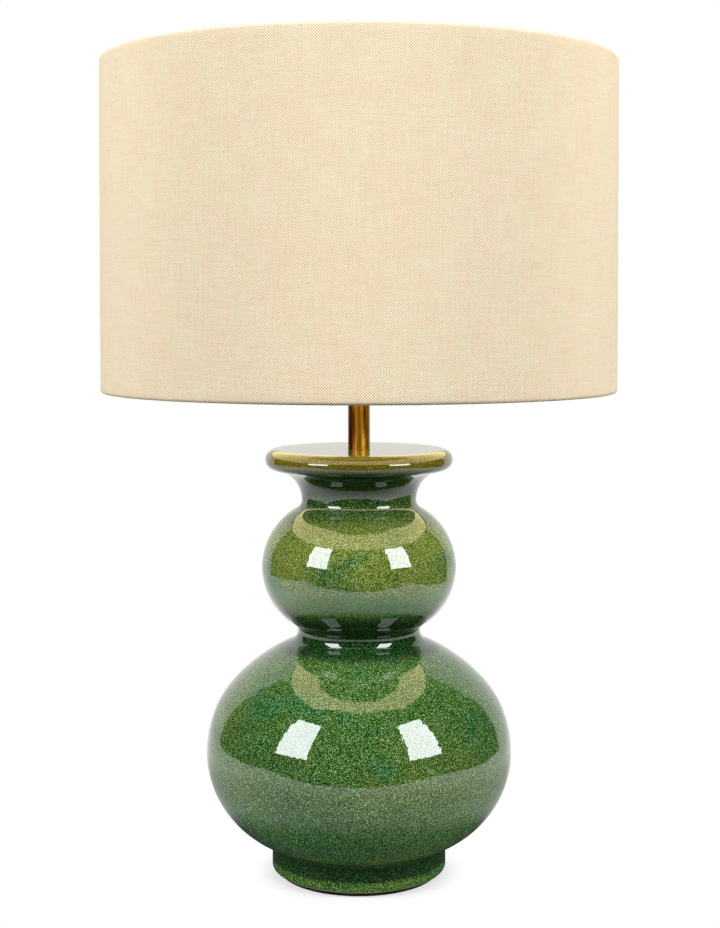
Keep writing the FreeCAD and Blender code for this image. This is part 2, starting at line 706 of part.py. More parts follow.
def make_base_nut():
    body = new_body("base_nut")
    sketch = new_sketch(body, "hexagon", "XY_Plane")
    sketch.setExpression(".AttachmentOffset.Base.z", expression("nut_level"))
    half = "nut_half"
    corner = "(2 * nut_half / sqrt(3))"
    draw_outline(sketch, [
        (corner, "0"),
        (f"{corner} / 2", half),
        (f"0 - {corner} / 2", half),
        (f"0 - {corner}", "0"),
        (f"0 - {corner} / 2", f"0 - {half}"),
        (f"{corner} / 2", f"0 - {half}"),
    ])
    feature(body, "Pad", "block", sketch).setExpression("Length", expression("nut_thick"))
    through_hole(body, "thread", "XY_Plane", "0", "0", "rod_hole")
    bevel = f"({corner} - nut_half)"
    bored(body, "bevel", [
        (half, "nut_level"),
        (f"{corner} + {bevel}", "nut_level"),
        (f"{corner} + {bevel}", f"nut_level + {bevel}"),
    ])
    return body


# ---------------------------------------------------------------- rod, bush and stem

def make_threaded_rod():
    body = new_body("threaded_rod")
    bottom = f"(nut_level - rod_tail)"
    top = f"(holder_level + rod_entry)"
    bevel = "((rod_radius - rod_bore) / 2)"
    turned(body, "rod", [
        ("rod_bore", bottom),
        (f"rod_radius - {bevel}", bottom),
        ("rod_radius", f"{bottom} + {bevel}"),
        ("rod_radius", f"{top} - {bevel}"),
        (f"rod_radius - {bevel}", top),
        ("rod_bore", top),
    ])
    return body


def make_neck_bush():
    body = new_body("neck_bush")
    turned(body, "bush", [
        ("rod_hole", "disc_top - ceiling"),
        ("bush_radius", "disc_top - ceiling"),
        ("bush_radius", "disc_top"),
        ("collar_radius", "disc_top"),
        ("collar_radius", "disc_top + bush_collar"),
        ("rod_hole", "disc_top + bush_collar"),
    ])
    return body


def make_stem_tube():
    body = new_body("stem_tube")
    turned(body, "tube", [
        ("stem_bore", "disc_top"),
        ("stem_radius", "disc_top"),
        ("stem_radius", "holder_level"),
        ("stem_bore", "holder_level"),
    ])
    return body


# ---------------------------------------------------------------- lampholder, upwards from the stem

def make_lampholder_cap():
    body = new_body("lampholder_cap", lift="holder_level")
    middle = "(boss_radius + bell_round)"
    bell = "(cap_radius - boss_radius - bell_round)"
    turn_height = "(boss_height + bell_round)"
    side_height = f"({turn_height} + {bell})"
    turned(body, "bell", [
        ("rod_hole", "0"),
        ("boss_radius", "0"),
        ("boss_radius", "boss_height"),
        (middle, turn_height, (middle, "boss_height"), "right"),
        ("cap_radius", side_height, (middle, side_height), "left"),
        ("cap_radius", "cap_height"),
        ("cap_radius - cap_wall", "cap_height"),
        ("cap_radius - cap_wall", side_height),
        (middle, f"{turn_height} + cap_wall", (middle, side_height), "right"),
        ("boss_radius - cap_wall", "boss_height", (middle, "boss_height"), "left"),
        ("rod_hole", "boss_height"),
    ])
    through_hole(body, "bar_holes", "YZ_Plane", "0", "bar_height", "bar_radius + bar_gap")
    sketch = new_sketch(body, "grub_circle")
    draw_circle(sketch, "0", "boss_height / 2", "grub_radius")
    made = feature(body, "Pocket", "grub_hole", sketch, Type="Length")
    made.setExpression("Length", expression("2 * boss_radius"))
    return body


def make_grub_screw():
    body = new_body("grub_screw", lift="holder_level")
    pad_circle(body, "screw", "XZ_Plane", "0", "boss_height / 2", "grub_radius - holder_gap",
               "boss_radius - rod_radius - holder_gap", "0 - boss_radius")
    return body


def make_lampholder_insert():
    body = new_body("lampholder_insert", lift="holder_level")
    turned(body, "core", [
        ("insert_pocket", "insert_bottom"),
        ("insert_radius - insert_bevel", "insert_bottom"),
        ("insert_radius", "insert_bottom + insert_bevel"),
        ("insert_radius", "cup_top"),
        ("cup_radius", "cup_top"),
        ("cup_radius", "cap_height"),
        ("rivet_radius + holder_gap", "cap_height"),
        ("rivet_radius + holder_gap", "insert_web"),
        ("insert_pocket", "insert_web"),
    ])
    through_hole(body, "bar_channel", "YZ_Plane", "0", "bar_height", "bar_radius + bar_gap")
    return body


def make_terminal(number):
    """A brass block on the web's underside, with a wire hole along X; number 1 is at the front."""
    body = new_body(f"terminal_{number}", lift="holder_level")
    sign = "0 -" if number == 1 else "0 +"
    sketch = new_sketch(body, "block_outline", "XY_Plane")
    sketch.setExpression(".AttachmentOffset.Base.z", expression("insert_web - terminal_height"))
    near = f"{sign} (terminal_place - terminal_width / 2)"
    far = f"{sign} (terminal_place + terminal_width / 2)"
    draw_outline(sketch, [
        ("0 - terminal_width / 2", near),
        ("terminal_width / 2", near),
        ("terminal_width / 2", far),
        ("0 - terminal_width / 2", far),
    ])
    feature(body, "Pad", "block", sketch).setExpression("Length", expression("terminal_height"))
    through_hole(body, "wire_hole", "YZ_Plane", f"{sign} terminal_place",
                 "insert_web - terminal_height / 2", "terminal_hole")
    return body


def make_terminal_screws():
    """Two slotted screws, one under each terminal."""
    body = new_body("terminal_screws", lift="holder_level")
    body.AllowCompound = True
    sketch = new_sketch(body, "heads", "XY_Plane")
    sketch.setExpression(".AttachmentOffset.Base.z",
                         expression("insert_web - terminal_height - screw_height"))
    draw_circle(sketch, "0", "terminal_place", "screw_radius")
    draw_circle(sketch, "0", "0 - terminal_place", "screw_radius")
    feature(body, "Pad", "screws", sketch).setExpression("Length", expression("screw_height"))
    slot = new_sketch(body, "slot_outline", "YZ_Plane")
    bottom = "insert_web - terminal_height - screw_height"
    draw_outline(slot, [
        ("0 - 2 * terminal_place", bottom),
        ("2 * terminal_place", bottom),
        ("2 * terminal_place", f"{bottom} + screw_height / 2"),
        ("0 - 2 * terminal_place", f"{bottom} + screw_height / 2"),
    ])
    made = feature(body, "Pocket", "slots", slot, Type="Length")
    made.Midplane = True
    made.setExpression("Length", expression("screw_slot"))
    return body


def make_centre_contact():
    body = new_body("centre_contact", lift="holder_level")
    turned(body, "contact", [
        ("0", "cap_height - rivet_length"),
        ("rivet_radius", "cap_height - rivet_length"),
        ("rivet_radius", "cap_height"),
        ("contact_radius", "cap_height"),
        ("contact_radius", "cap_height + contact_rise / 3"),
        ("contact_radius / 2", "cap_height + contact_rise"),
        ("0", "cap_height + contact_rise"),
    ])
    return body


def make_screw_shell():
    body = new_body("screw_shell", lift="holder_level")
    turned(body, "shell", [
        ("shell_mouth", "cap_height"),
        ("shell_radius + shell_wall", "cap_height"),
        ("shell_radius + shell_wall", "cup_top"),
        ("shell_radius", "cup_top"),
        ("shell_radius", "cap_height + shell_wall"),
        ("shell_mouth", "cap_height + shell_wall"),
    ])
    return body


def make_lampholder_skirt():
    body = new_body("lampholder_skirt", lift="holder_level")
    inside = "(skirt_radius - skirt_wall)"
    turned(body, "skirt", [
        ("spigot_bore", "spigot_bottom"),
        ("spigot_radius", "spigot_bottom"),
        ("spigot_radius", "cap_height"),
        ("skirt_radius", "cap_height"),
        ("skirt_radius", "shoulder_top - shoulder_thick"),
        ("shoulder_radius", "shoulder_top - shoulder_thick"),
        ("shoulder_radius", "shoulder_top"),
        ("skirt_radius", "shoulder_top"),
        ("skirt_radius", "skirt_top - skirt_wall / 2"),
        ("skirt_radius - skirt_wall / 2", "skirt_top"),
        (inside, "skirt_top"),
        (inside, f"cap_height + {inside} - spigot_bore"),
        ("spigot_bore", "cap_height"),
    ])
    return body


def make_switch_bar():
    """The bar at the end of its travel towards the left: it is pushed in towards the right."""
    body = new_body("switch_bar", lift="holder_level")
    length = "2 * (cap_radius + bar_stub) + bar_travel"
    bar = pad_circle(body, "bar", "YZ_Plane", "0", "bar_height", "bar_radius", length,
                     "0 - cap_radius - bar_stub - bar_travel")
    doc.recompute()
    rounded = body.newObject("PartDesign::Fillet", "rounded_ends")
    rounded.Base = (bar, ring_edges(bar, "bar_radius", "bar_height"))
    rounded.setExpression("Radius", expression("bar_round"))
    body.Tip = rounded
    return body


def make_shade_ring():
    """The threaded ring that clamps the shade's hub on the shoulder."""
    body = new_body("shade_ring", lift="holder_level")
    bottom = "(shoulder_top + 2 * hub_gap + hub_thick)"
    top = f"({bottom} + ring_height)"
    bevel = "(ring_flange_thick / 2)"
    turned(body, "ring", [
        ("skirt_radius + ring_gap", bottom),
        ("ring_flange", bottom),
        ("ring_flange", f"{bottom} + ring_flange_thick"),
        ("ring_radius", f"{bottom} + ring_flange_thick"),
        ("ring_radius", f"{top} - {bevel}"),
        (f"ring_radius - {bevel}", top),
        ("skirt_radius + ring_gap", top),
    ])
    sketch = new_sketch(body, "grip_circle", "XY_Plane")
    sketch.setExpression(".AttachmentOffset.Base.z", expression(f"{bottom} + ring_flange_thick"))
    draw_circle(sketch, "ring_radius + ring_grip / 2", "0", "ring_grip")
    grip = feature(body, "Pocket", "grip", sketch, Type="Length")
    grip.setExpression("Length", expression("ring_height"))
    grip.Reversed = True
    doc.recompute()
    pattern = body.newObject("PartDesign::PolarPattern", "grips")
    pattern.Originals = [grip]
    pattern.Angle = 360
    pattern.Occurrences = RING_GRIPS
    spin_pattern_about_z(body, pattern)
    return body


# ---------------------------------------------------------------- bulb, from its tip upwards

def make_bulb_glass():
    """An opal globe that runs into its neck in one tangent arc."""
    body = new_body("bulb_glass", lift="bulb_level")
    sketch = new_sketch(body, "globe_outline")
    globe = (0.0, size("bulb_length - globe_radius"))
    rise = globe[1] - size("base_top")
    throat = size("throat_radius")
    radius = size("globe_radius")
    hollow = (rise ** 2 + throat ** 2 - radius ** 2) / (2 * (radius - throat))
    neck = (throat + hollow, size("base_top"))
    wall = size("glass_wall")
    down = bearing(globe, neck) - 2 * math.pi
    back = bearing(neck, globe)
    outer = add_arc(sketch, globe, radius, down, math.pi / 2)
    outer_neck = add_arc(sketch, neck, hollow, back, math.pi)
    inner = add_arc(sketch, globe, radius - wall, down, math.pi / 2)
    inner_neck = add_arc(sketch, neck, hollow + wall, back, math.pi)
    rim = add_line(sketch, (throat, neck[1]), (throat - wall, neck[1]))
    crown = add_line(sketch, (0, globe[1] + radius), (0, globe[1] + radius - wall))
    constrain = sketch.addConstraint
    constrain(Sketcher.Constraint("Tangent", outer, START, outer_neck, START))
    constrain(Sketcher.Constraint("Tangent", inner, START, inner_neck, START))
    constrain(Sketcher.Constraint("Coincident", outer_neck, END, rim, START))
    constrain(Sketcher.Constraint("Coincident", rim, END, inner_neck, END))
    constrain(Sketcher.Constraint("Coincident", outer, END, crown, START))
    constrain(Sketcher.Constraint("Coincident", crown, END, inner, END))
    constrain(Sketcher.Constraint("Coincident", outer, CENTRE, inner, CENTRE))
    constrain(Sketcher.Constraint("Coincident", outer_neck, CENTRE, inner_neck, CENTRE))
    bind_point(sketch, outer, CENTRE, "0", "bulb_length - globe_radius")
    bind(sketch, "globe_radius", "Radius", outer)
    bind(sketch, "globe_radius - glass_wall", "Radius", inner)
    bind_point(sketch, outer, END, "0", None)
    bind_point(sketch, inner, END, "0", None)
    bind_point(sketch, rim, START, "throat_radius", "base_top")
    bind_point(sketch, outer_neck, CENTRE, None, "base_top")
    bind_point(sketch, rim, END, None, "base_top")
    feature(body, "Revolution", "globe", sketch, ReferenceAxis=(sketch, ["V_Axis"])).Angle = 360
    return body


def make_bulb_cap():
    body = new_body("bulb_cap", lift="bulb_level")
    inside = "base_radius - base_wall"
    turned(body, "cap", [
        (inside, "base_bottom"),
        ("base_radius", "base_bottom + base_wall"),
        ("base_radius", "base_top - base_wall"),
        ("base_rim", "base_top - base_wall"),
        ("base_rim", "base_top"),
        (inside, "base_top"),
    ])
    return body


def make_bulb_insulator():
    body = new_body("bulb_insulator", lift="bulb_level")
    edge = "base_radius - base_wall - holder_gap"
    turned(body, "plug", [
        ("0", "tip_height"),
        ("plug_face", "tip_height"),
        (edge, "base_bottom"),
        (edge, "plug_top"),
        ("0", "plug_top"),
    ])
    return body


def make_bulb_contact():
    body = new_body("bulb_contact", lift="bulb_level")
    turned(body, "tip", [
        ("0", "0"),
        ("tip_radius / 2", "0"),
        ("tip_radius", "tip_height / 2"),
        ("tip_radius", "tip_height"),
        ("0", "tip_height"),
    ])
    return body


# ---------------------------------------------------------------- shade, from its lower edge upwards

WIRE_PLACE = "(shade_radius - fabric_thick - hem_gap - wire_radius)"
HEM_INSIDE = "(wire_radius + hem_gap)"
HEM_OUTSIDE = "(wire_radius + hem_gap + fabric_thick)"
TUCK_ACROSS = "cos(30 * 1deg)"
TUCK_ALONG = "sin(30 * 1deg)"


def round_the_wire(height, radius, stations, way):
    """Corners of an arc round a rim wire; each station is a direction from the wire's centre."""
    centre = (WIRE_PLACE, height)
    return [(f"{WIRE_PLACE} + ({across}) * {radius}", f"{height} + ({along}) * {radius}", centre, way)
            for across, along in stations]


def make_shade_fabric():
    """The woven cover: a drum whose edges are rolled round the rim wires and tucked in behind them."""
    body = new_body("shade_fabric", lift="shade_level")
    low = HEM_OUTSIDE
    high = f"(shade_height - {HEM_OUTSIDE})"
    inner_face = "shade_radius - fabric_thick"
    inwards, outwards, downwards, upwards = ("-1", "0"), ("1", "0"), ("0", "-1"), ("0", "1")
    tuck_low = (f"-{TUCK_ACROSS}", TUCK_ALONG)
    tuck_high = (f"-{TUCK_ACROSS}", f"-{TUCK_ALONG}")
    first = round_the_wire(low, HEM_OUTSIDE, [tuck_low], "left")[0][:2]
    last = round_the_wire(high, HEM_INSIDE, [tuck_high], "left")[0][:2]
    turned(body, "drum", [
        first,
        *round_the_wire(low, HEM_OUTSIDE, [inwards, downwards, outwards], "left"),
        ("shade_radius", high),
        *round_the_wire(high, HEM_OUTSIDE, [upwards, inwards, tuck_high], "left"),
        last,
        *round_the_wire(high, HEM_INSIDE, [inwards, upwards, outwards], "right"),
        (inner_face, low),
        *round_the_wire(low, HEM_INSIDE, [downwards, inwards, tuck_low], "right"),
    ])
    lap = new_sketch(body, "lap_outline")
    draw_outline(lap, [
        ("shade_radius - fabric_thick / 2", low),
        ("shade_radius + fabric_thick / 2", low),
        ("shade_radius + fabric_thick / 2", high),
        ("shade_radius - fabric_thick / 2", high),
    ])
    made = feature(body, "Revolution", "lap", lap, ReferenceAxis=(lap, ["V_Axis"]))
    made.setExpression("Angle", expression("seam_width"))
    body.Placement = Placement(Vector(0, 0, 0), Rotation(Vector(0, 0, 1), 90))
    return body


def make_shade_lining():
    body = new_body("shade_lining", lift="shade_level")
    low = f"({HEM_OUTSIDE} + wire_radius + 2 * hem_gap)"
    high = f"(shade_height - {HEM_OUTSIDE} - wire_radius - 2 * hem_gap)"
    turned(body, "lining", [
        ("shade_radius - fabric_thick - lining_thick", low),
        ("shade_radius - fabric_thick", low),
        ("shade_radius - fabric_thick", high),
        ("shade_radius - fabric_thick - lining_thick", high),
    ])
    return body


def make_rim_wire(label, height):
    """A hoop of round wire inside the rolled edge."""
    body = new_body(label, lift="shade_level")
    sketch = new_sketch(body, "wire_circle")
    draw_circle(sketch, WIRE_PLACE, height, "wire_radius")
    feature(body, "Revolution", "hoop", sketch, ReferenceAxis=(sketch, ["V_Axis"])).Angle = 360
    return body


def make_shade_hub():
    body = new_body("shade_hub", lift="shade_level")
    turned(body, "hub", [
        ("hub_bore", "hub_recess"),
        ("hub_radius", "hub_recess"),
        ("hub_radius", "hub_recess + hub_thick"),
        ("hub_bore", "hub_recess + hub_thick"),
    ])
    return body


def make_shade_arm(number):
    """A wire from under the hub out to the drum and down onto the lower rim wire."""
    body = new_body(f"shade_arm_{number}", lift="shade_level")
    height = "(hub_recess - arm_radius - weld_gap)"
    leg = f"({WIRE_PLACE} - arm_inset)"
    foot = f"({HEM_OUTSIDE} + wire_radius + weld_gap)"
    path = new_sketch(body, "path")
    level = size(height)
    corner = (size(f"{leg} - arm_bend"), level - size("arm_bend"))
    span = add_line(path, (size("arm_start"), level), (corner[0], level))
    bend = add_arc(path, corner, size("arm_bend"), 0, math.pi / 2)
    drop = add_line(path, (size(leg), corner[1]), (size(leg), size(foot)))
    path.addConstraint(Sketcher.Constraint("Tangent", span, END, bend, END))
    path.addConstraint(Sketcher.Constraint("Tangent", bend, START, drop, START))
    bind(path, "arm_bend", "Radius", bend)
    bind_point(path, span, START, "arm_start", height)
    path.addConstraint(Sketcher.Constraint("Horizontal", span))
    bind_point(path, drop, END, leg, foot)
    path.addConstraint(Sketcher.Constraint("Vertical", drop))
    section = new_sketch(body, "section", "YZ_Plane")
    section.setExpression(".AttachmentOffset.Base.z", expression("arm_start"))
    draw_circle(section, "0", height, "arm_radius")
    pipe = feature(body, "AdditivePipe", "wire", section)
    pipe.Spine = path
    turn = 90 + 360 * number / ARM_COUNT
    body.Placement = Placement(Vector(0, 0, 0), Rotation(Vector(0, 0, 1), turn))
    return body


# ---------------------------------------------------------------- make, check and write every piece

def make_pieces():
    bodies = [
        make_ceramic_body(),
        make_cable_grommet(),
        make_base_pad(),
        make_base_plate(),
        make_flat_washer(),
        make_spring_washer(),
        make_base_nut(),
        make_threaded_rod(),
        make_neck_bush(),
        make_stem_tube(),
        make_lampholder_cap(),
        make_grub_screw(),
        make_lampholder_insert(),
        make_terminal(1),
        make_terminal(2),
        make_terminal_screws(),
        make_centre_contact(),
        make_screw_shell(),
        make_lampholder_skirt(),
        make_switch_bar(),
        make_shade_ring(),
        make_bulb_glass(),
        make_bulb_cap(),
        make_bulb_insulator(),
        make_bulb_contact(),
        make_shade_fabric(),
        make_shade_lining(),
        make_rim_wire("shade_bottom_wire", HEM_OUTSIDE),
        make_rim_wire("shade_top_wire", f"shade_height - {HEM_OUTSIDE}"),
        make_shade_hub(),
    ]
    bodies += [make_shade_arm(number) for number in range(1, ARM_COUNT + 1)]
    return bodies


def check(bodies):
    """Stop if any feature failed or any piece isn't a sound solid."""
    for item in doc.Objects:
        bad = [state for state in item.State if state in ("Invalid", "Error")]
        if bad:
            raise RuntimeError(f"{item.Name} is {bad}")
    for body in bodies:
        if body.Shape.isNull() or not body.Shape.isValid() or body.Shape.Volume <= 0:
            raise RuntimeError(f"{body.Label} has no sound shape")


def write_steps(bodies):
    os.makedirs("parts", exist_ok=True)
    for body in bodies:
        body.Shape.exportStep(f"parts/{body.Label}.step")


pieces = make_pieces()
doc.recompute()
check(pieces)
write_steps(pieces)
for piece in pieces:
    box = piece.Shape.BoundBox
    print(f"{piece.Label:20s} {piece.Shape.Volume:12.1f} mm3  z {box.ZMin:7.2f} to {box.ZMax:7.2f}")
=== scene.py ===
import json
import math

import bmesh
import bpy
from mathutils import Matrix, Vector, noise


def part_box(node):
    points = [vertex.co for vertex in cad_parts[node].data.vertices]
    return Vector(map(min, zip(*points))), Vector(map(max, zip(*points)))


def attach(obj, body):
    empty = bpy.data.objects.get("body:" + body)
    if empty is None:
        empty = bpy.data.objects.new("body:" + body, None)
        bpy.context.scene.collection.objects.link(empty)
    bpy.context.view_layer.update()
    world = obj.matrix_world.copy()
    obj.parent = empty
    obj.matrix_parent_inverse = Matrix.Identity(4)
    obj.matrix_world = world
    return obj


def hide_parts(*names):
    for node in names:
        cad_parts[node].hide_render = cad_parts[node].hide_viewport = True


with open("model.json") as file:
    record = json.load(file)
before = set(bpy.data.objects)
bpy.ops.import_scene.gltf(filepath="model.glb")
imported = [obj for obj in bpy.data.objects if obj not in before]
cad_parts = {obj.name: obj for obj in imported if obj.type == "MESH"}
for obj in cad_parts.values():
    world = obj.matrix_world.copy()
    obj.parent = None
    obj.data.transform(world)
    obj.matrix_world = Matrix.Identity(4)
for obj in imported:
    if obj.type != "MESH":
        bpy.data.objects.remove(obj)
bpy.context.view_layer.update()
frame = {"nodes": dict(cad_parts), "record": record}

# Looks of a table lamp: a double gourd in speckled green glaze, a short antique brass stem and a linen drum
# shade. Metres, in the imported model's frame: +Z up, -Y the front, the origin under the centre of the pad.

MM = 0.001


# ---------------------------------------------------------------- camera

EYE = Vector((0.0007, -1.140, 0.3878))
PITCH_DOWN = math.radians(1.88)
FOCAL_PIXELS = 1666.0
PICTURE_HEIGHT = 928.0
OPTICAL_AXIS_ROW = 362.5
SENSOR = 36.0
NEAREST, FARTHEST = 0.05, 50.0


def make_camera():
    """The photograph's viewpoint: a little above the shade's lower edge, with the picture shifted down."""
    data = bpy.data.cameras.new("camera")
    data.sensor_width = SENSOR
    data.lens = FOCAL_PIXELS * SENSOR / PICTURE_HEIGHT
    data.shift_y = (OPTICAL_AXIS_ROW - PICTURE_HEIGHT / 2) / PICTURE_HEIGHT
    data.clip_start = NEAREST
    data.clip_end = FARTHEST
    camera = bpy.data.objects.new("camera", data)
    camera.location = EYE
    camera.rotation_euler = (math.pi / 2 - PITCH_DOWN, 0.0, 0.0)
    bpy.context.scene.collection.objects.link(camera)
    bpy.context.scene.camera = camera


# ---------------------------------------------------------------- node helpers

MIX_FIRST, MIX_SECOND, MIX_RESULT = 6, 7, 2     # the colour sockets of a Mix node, which share their names


def rgba(colour):
    return (*colour, 1.0)


class Shader:
    """The nodes of a material or world under construction."""

    def __init__(self, owner, output="OutputMaterial"):
        owner.use_nodes = True
        self.owner = owner
        self.tree = owner.node_tree
        self.tree.nodes.clear()
        self.output = self.add(output)

    def add(self, kind, **settings):
        node = self.tree.nodes.new("ShaderNode" + kind)
        for key, value in settings.items():
            setattr(node, key, value)
        return node

    def feed(self, socket, value):
        """Link a socket to an output, or set its value."""
        if isinstance(value, bpy.types.NodeSocket):
            self.tree.links.new(value, socket)
        else:
            socket.default_value = value

    def finish(self, surface):
        """Link the surface to the output and hand the material back."""
        self.feed(self.output.inputs["Surface"], surface)
        return self.owner

    def principled(self, **values):
        """Finish with a principled surface, its sockets named by words joined with underscores."""
        node = self.add("BsdfPrincipled")
        for key, value in values.items():
            self.feed(node.inputs[key.replace("_", " ")], value)
        return self.finish(node.outputs["BSDF"])

    def place(self):
        """A point's place in the object's own frame, in metres."""
        return self.add("TexCoord").outputs["Object"]

    def parts(self, vector):
        node = self.add("SeparateXYZ")
        self.feed(node.inputs[0], vector)
        return node.outputs

    def join(self, x, y, z):
        node = self.add("CombineXYZ")
        for socket, value in zip(node.inputs, (x, y, z)):
            self.feed(socket, value)
        return node.outputs[0]

    def math(self, operation, *values, clamp=False):
        node = self.add("Math", operation=operation, use_clamp=clamp)
        for socket, value in zip(node.inputs, values):
            self.feed(socket, value)
        return node.outputs[0]

    def times(self, first, second):
        return self.math("MULTIPLY", first, second)

    def plus(self, first, second):
        return self.math("ADD", first, second)

    def largest(self, first, second):
        return self.math("MAXIMUM", first, second)

    def from_axis(self, x, y):
        """The distance from the lamp's axis."""
        return self.math("SQRT", self.plus(self.times(x, x), self.times(y, y)))

    def stretch(self, coordinates, factors):
        """Coordinates scaled one by one, for marks that are longer one way than another."""
        return self.join(*[self.times(value, factor) for value, factor in zip(coordinates, factors)])

    def spread(self, value, low, high, to_low=0.0, to_high=1.0, kind="SMOOTHSTEP"):
        """A step from to_low to to_high as value goes from low to high; smooth unless kind says otherwise."""
        node = self.add("MapRange", interpolation_type=kind)
        for socket, number in zip(node.inputs, (value, low, high, to_low, to_high)):
            self.feed(socket, number)
        return node.outputs[0]

    def band(self, value, rise, fall):
        """One inside a band and nothing outside: it comes in over the first pair and goes over the second."""
        return self.times(self.spread(value, *rise), self.spread(value, *fall))

    def noise(self, where, scale, detail=2.0, roughness=0.5, distortion=0.0):
        node = self.add("TexNoise")
        self.feed(node.inputs["Vector"], where)
        node.inputs["Scale"].default_value = scale
        node.inputs["Detail"].default_value = detail
        node.inputs["Roughness"].default_value = roughness
        node.inputs["Distortion"].default_value = distortion
        return node.outputs["Fac"]

    def ramp(self, factor, positions, colours):
        """Colours at positions along a factor."""
        node = self.add("ValToRGB")
        self.feed(node.inputs["Fac"], factor)
        elements = node.color_ramp.elements
        while len(elements) < len(positions):
            elements.new(0.5)
        for element, position, colour in zip(elements, positions, colours):
            element.position = position
            element.color = rgba(colour)
        return node.outputs["Color"]

    def mix(self, factor, first, second, blend="MIX"):
        node = self.add("Mix", data_type="RGBA", blend_type=blend)
        self.feed(node.inputs[0], factor)
        for index, value in ((MIX_FIRST, first), (MIX_SECOND, second)):
            self.feed(node.inputs[index], rgba(value) if isinstance(value, tuple) else value)
        return node.outputs[MIX_RESULT]

    def bump(self, height, distance, strength=1.0):
        node = self.add("Bump")
        node.inputs["Strength"].default_value = strength
        node.inputs["Distance"].default_value = distance
        self.feed(node.inputs["Height"], height)
        return node.outputs["Normal"]


def new_shader(name):
    return Shader(bpy.data.materials.new(name))


# ---------------------------------------------------------------- studio

TABLE_LEFT, TABLE_RIGHT = -1.0, 0.67
TABLE_FRONT, TABLE_BACK = -0.46, 1.6

# A white backdrop stands behind the lamp, this far round to each side; the room in front of it is dark.
BACKDROP_HALF_ANGLE = math.radians(52)
BACKDROP_EDGE = 0.015
ROOM_DARK = 0.01

# Two upright soft boxes: panels that only reflections see, and lamps that reflections don't.
BOX_AZIMUTHS = (-51.0, 50.5)
BOX_DISTANCE, BOX_HEIGHT = 2.2, 1.56
BOX_WIDTH, BOX_LENGTH = 1.03, 2.02
BOX_GLOW = 14.5
BOX_TINT = (0.93, 0.96, 1.0)
BOX_POWERS = (62.0, 63.5)
LAMP_SPREAD, LAMP_RISE, LAMP_LENGTH = 1.07, -0.10, 1.0
LAMP_AIM = (0.0, 0.0, 0.35)
TOP_PLACE, TOP_AIM, TOP_SIZE, TOP_POWER = (0.0, 0.0, 2.2), (0.0, 0.0, 0.3), 1.6, 14.0

# What the table gives back to the lamp by distance from its axis: matt bounce, and brightness in reflections.
TABLE_WHITE = 0.9
NEAR_REACH, FAR_REACH = 0.20, 0.42
NEAR_BOUNCE, FAR_BOUNCE = 0.50, 0.06
NEAR_SHEEN, FAR_SHEEN = 0.55, 1.0
# Close round the foot the table is dark in reflections: a painted shadow.
FOOT_REACH, FOOT_EDGE, FOOT_SHEEN = 0.100, 0.150, 0.06
SHADOW_FROM, SHADOW_TO, SHADOW_WHITE = 0.053, 0.074, 0.45

# A painted reflection: a warm glowing cylinder inside the shade that stands in for its lit inside.
LINING_RADIUS, LINING_FROM, LINING_TO = 0.1725, 0.336, 0.549
LINING_SIDES = 96
LINING_TINT = (1.0, 0.80, 0.45)
LINING_STRENGTH = 3.0


def make_world():
    """White to the camera; otherwise a white backdrop behind the lamp and a dark room in front of it."""
    world = bpy.data.worlds.new("studio")
    bpy.context.scene.world = world
    sky = Shader(world, "OutputWorld")
    rays = sky.add("LightPath").outputs
    x, y, _ = sky.parts(sky.add("TexCoord").outputs["Generated"])
    level = sky.add("VectorMath", operation="NORMALIZE")
    sky.feed(level.inputs[0], sky.join(x, y, 0.0))
    _, behind, _ = sky.parts(level.outputs[0])
    edge = math.cos(BACKDROP_HALF_ANGLE)
    backdrop = sky.spread(behind, edge - BACKDROP_EDGE, edge + BACKDROP_EDGE, ROOM_DARK, 1.0, "LINEAR")
    seen = sky.largest(rays["Is Camera Ray"], rays["Is Transmission Ray"])
    background = sky.add("Background")
    background.inputs["Color"].default_value = rgba((1.0, 1.0, 1.0))
    sky.feed(background.inputs["Strength"], sky.largest(seen, backdrop))
    sky.finish(background.outputs[0])


def floor_material():
    """Pale matt table; the camera sees mostly white, with the lamp's shadow kept close round its foot."""
    shader = new_shader("pale_floor")
    rays = shader.add("LightPath").outputs
    x, y, _ = shader.parts(shader.place())
    distance = shader.from_axis(x, y)
    reach = shader.spread(distance, NEAR_REACH, FAR_REACH)
    bounce = shader.mix(reach, (NEAR_BOUNCE,) * 3, (FAR_BOUNCE,) * 3)
    sheen = shader.mix(reach, (NEAR_SHEEN,) * 3, (FAR_SHEEN,) * 3)
    # Painted shadow: the table dims in reflections close round the foot.
    sheen = shader.mix(shader.spread(distance, FOOT_REACH, FOOT_EDGE), (FOOT_SHEEN,) * 3, sheen)
    colour = shader.mix(rays["Is Glossy Ray"], (TABLE_WHITE,) * 3, sheen)
    matt = shader.add("BsdfDiffuse")
    shader.feed(matt.inputs["Color"], shader.mix(rays["Is Diffuse Ray"], colour, bounce))
    whiteness = shader.spread(distance, SHADOW_FROM, SHADOW_TO, SHADOW_WHITE, 1.0)
    blend = shader.add("MixShader")
    shader.feed(blend.inputs[0], shader.times(rays["Is Camera Ray"], whiteness))
    shader.feed(blend.inputs[1], matt.outputs[0])
    shader.feed(blend.inputs[2], shader.add("Emission").outputs[0])
    material = shader.finish(blend.outputs[0])
    material.cycles.emission_sampling = "NONE"
    return material


def make_floor():
    mesh = bpy.data.meshes.new("floor")
    corners = [(TABLE_LEFT, TABLE_FRONT, 0), (TABLE_RIGHT, TABLE_FRONT, 0),
               (TABLE_RIGHT, TABLE_BACK, 0), (TABLE_LEFT, TABLE_BACK, 0)]
    mesh.from_pydata(corners, [], [(0, 1, 2, 3)])
    mesh.materials.append(floor_material())
    floor = bpy.data.objects.new("floor", mesh)
    bpy.context.scene.collection.objects.link(floor)


def facing(place, target):
    """A rotation that turns a panel or lamp's -Z from its place towards a target."""
    return (Vector(target) - Vector(place)).to_track_quat("-Z", "Y").to_euler()


